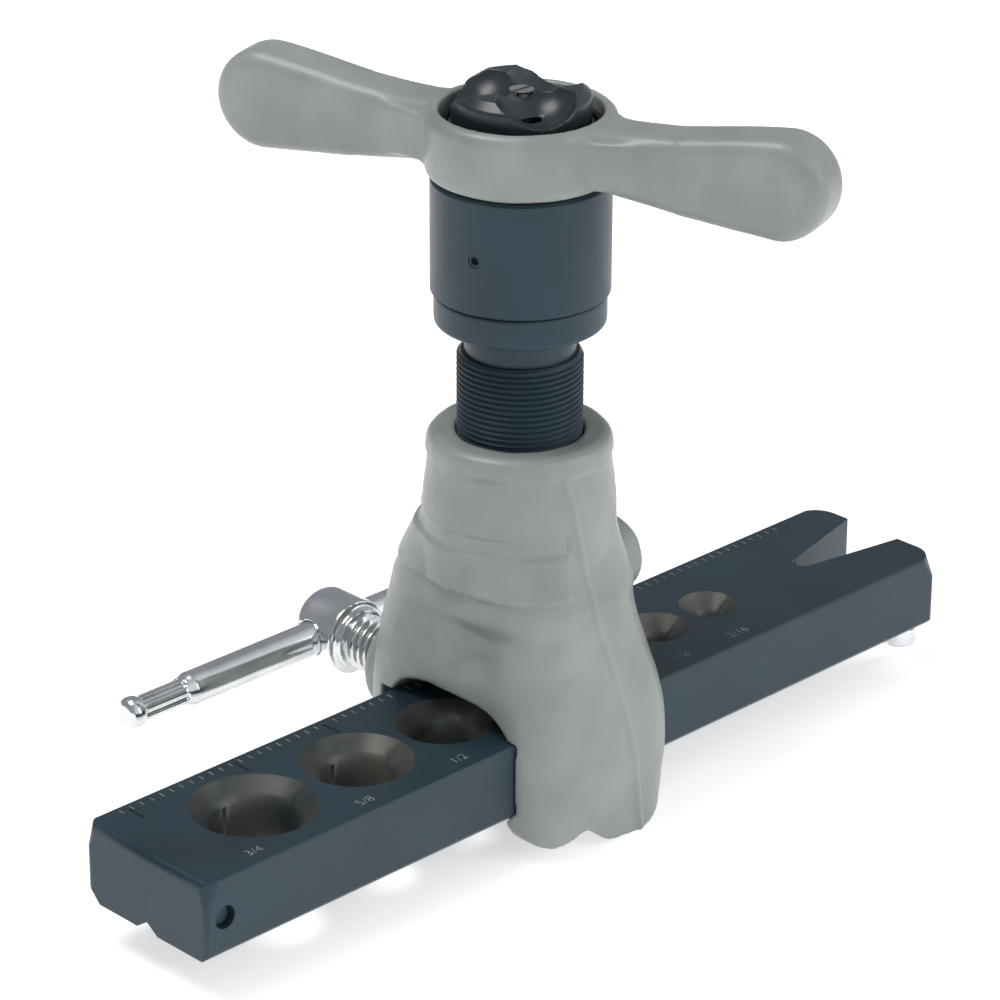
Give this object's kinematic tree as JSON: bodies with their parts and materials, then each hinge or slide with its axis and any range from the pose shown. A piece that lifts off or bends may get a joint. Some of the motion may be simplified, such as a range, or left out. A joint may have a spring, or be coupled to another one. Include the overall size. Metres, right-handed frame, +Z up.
{
  "type": "flaring tool",
  "caption": "Ratcheting flaring tool: split die bar with countersunk tube bores, slip-on yoke with clamp screw, and a T-handle that feeds a flaring cone.",
  "frame": {"origin": "axis of the 3/8 in tube bore, in the plane of the die bar's bottom face; the feed screw's axis passes through it", "axes": "+X along the die bar towards its slotted end, +Y towards the clamp screw, +Z up along the feed screw"},
  "size_m": [0.2247, 0.1356, 0.1674],
  "materials": {
    "cast_paint": "satin, lightly textured cast metal under warm grey paint",
    "black_oxide": "satin blue-black oxide",
    "zinc": "bright zinc plate",
    "hard_steel": "ground and hardened",
    "spring_steel": "drawn wire",
    "nylon": "natural",
    "knob_black": "smooth black"
  },
  "bodies": {
    "die_bar": {"bar_half_front": "black_oxide", "guide_pin_near": "black_oxide", "guide_pin_far": "hard_steel", "spreader_springs": "spring_steel", "stop_screw": "zinc"},
    "rear_half": {"bar_half_rear": "black_oxide"},
    "yoke": {"yoke": "cast_paint", "friction_plug": "nylon", "plug_set_screw": "black_oxide"},
    "cone": {"flare_cone": "hard_steel", "cone_retaining_ring": "spring_steel", "thrust_ball": "hard_steel"},
    "feed_screw": {"feed_screw": "black_oxide", "clutch_cam": "black_oxide", "cam_pin": "hard_steel"},
    "clutch": {"clutch_housing": "black_oxide", "clutch_adjusters": "black_oxide", "clutch_springs": "spring_steel", "ratchet_wheel": "hard_steel", "ratchet_key": "hard_steel", "post_clip": "spring_steel"},
    "clutch_ball_front": {"clutch_ball_front": "hard_steel"},
    "clutch_ball_rear": {"clutch_ball_rear": "hard_steel"},
    "handle": {"t_handle": "cast_paint", "hub_cover": "knob_black", "pawl_spring": "spring_steel"},
    "pawl": {"pawl": "hard_steel"},
    "knob": {"selector_knob": "knob_black", "knob_screw": "hard_steel"},
    "clamp_pad": {"clamp_pad": "zinc"},
    "clamp_screw": {"clamp_screw": "zinc"},
    "t_bar": {"t_bar": "zinc"}
  },
  "joints": [
    {"name": "yoke_slide", "type": "slide", "parent": "die_bar", "child": "yoke", "axis": [1, 0, 0], "range_m": [-0.0769, 0.0745]},
    {"name": "rear_half_open", "type": "slide", "parent": "die_bar", "child": "rear_half", "axis": [0, 1, 0], "range_m": [0, 0.00247]},
    {"name": "clamp_advance", "type": "slide", "parent": "yoke", "child": "clamp_pad", "axis": [0, 1, 0], "range_m": [0, 0.00247]},
    {"name": "clamp_turn", "type": "hinge", "parent": "clamp_pad", "child": "clamp_screw", "pos_m": [0, 0.045, 0.012], "axis": [0, 1, 0], "range_deg": [0, 455]},
    {"name": "t_bar_slide", "type": "slide", "parent": "clamp_screw", "child": "t_bar", "axis": [1, 0, 0], "range_m": [-0.011, 0.0345]},
    {"name": "cone_feed", "type": "slide", "parent": "yoke", "child": "cone", "axis": [0, 0, 1], "range_m": [-0.00741, 0.00254]},
    {"name": "feed_turn", "type": "hinge", "parent": "cone", "child": "feed_screw", "pos_m": [0, 0, 0.06], "axis": [0, 0, 1], "range_deg": [-2100, 720]},
    {"name": "clutch_slip", "type": "hinge", "parent": "feed_screw", "child": "clutch", "pos_m": [0, 0, 0.125], "axis": [0, 0, 1], "range_deg": [-20, 0]},
    {"name": "front_ball_lift", "type": "slide", "parent": "clutch", "child": "clutch_ball_front", "axis": [-0.9646, -0.2639, 0], "range_m": [0, 0.0014], "deforming": ["clutch_springs"]},
    {"name": "rear_ball_lift", "type": "slide", "parent": "clutch", "child": "clutch_ball_rear", "axis": [0.9646, 0.2639, 0], "range_m": [0, 0.0014]},
    {"name": "handle_ratchet", "type": "hinge", "parent": "clutch", "child": "handle", "pos_m": [0, 0, 0.145], "axis": [0, 0, 1], "range_deg": [0, 25]},
    {"name": "pawl_lift", "type": "slide", "parent": "handle", "child": "pawl", "axis": [-0.3156, 0.9489, 0], "range_m": [0, 0.00177], "deforming": ["pawl_spring"]},
    {"name": "knob_turn", "type": "hinge", "parent": "handle", "child": "knob", "pos_m": [0, 0, 0.153], "axis": [0, 0, 1], "range_deg": [0, 90]}
  ],
  "couplings": [
    {"joint": "clamp_turn", "follows": "rear_half_open", "rad_per_m": 3215.8},
    {"joint": "clamp_advance", "follows": "rear_half_open", "ratio": 1},
    {"joint": "feed_turn", "follows": "cone_feed", "rad_per_m": 4947.4},
    {"joint": "front_ball_lift", "follows": "clutch_slip", "m_per_rad": -0.0040107},
    {"joint": "rear_ball_lift", "follows": "clutch_slip", "m_per_rad": -0.0040107},
    {"joint": "pawl_lift", "follows": "handle_ratchet", "m_per_rad": 0.0040603}
  ]
}
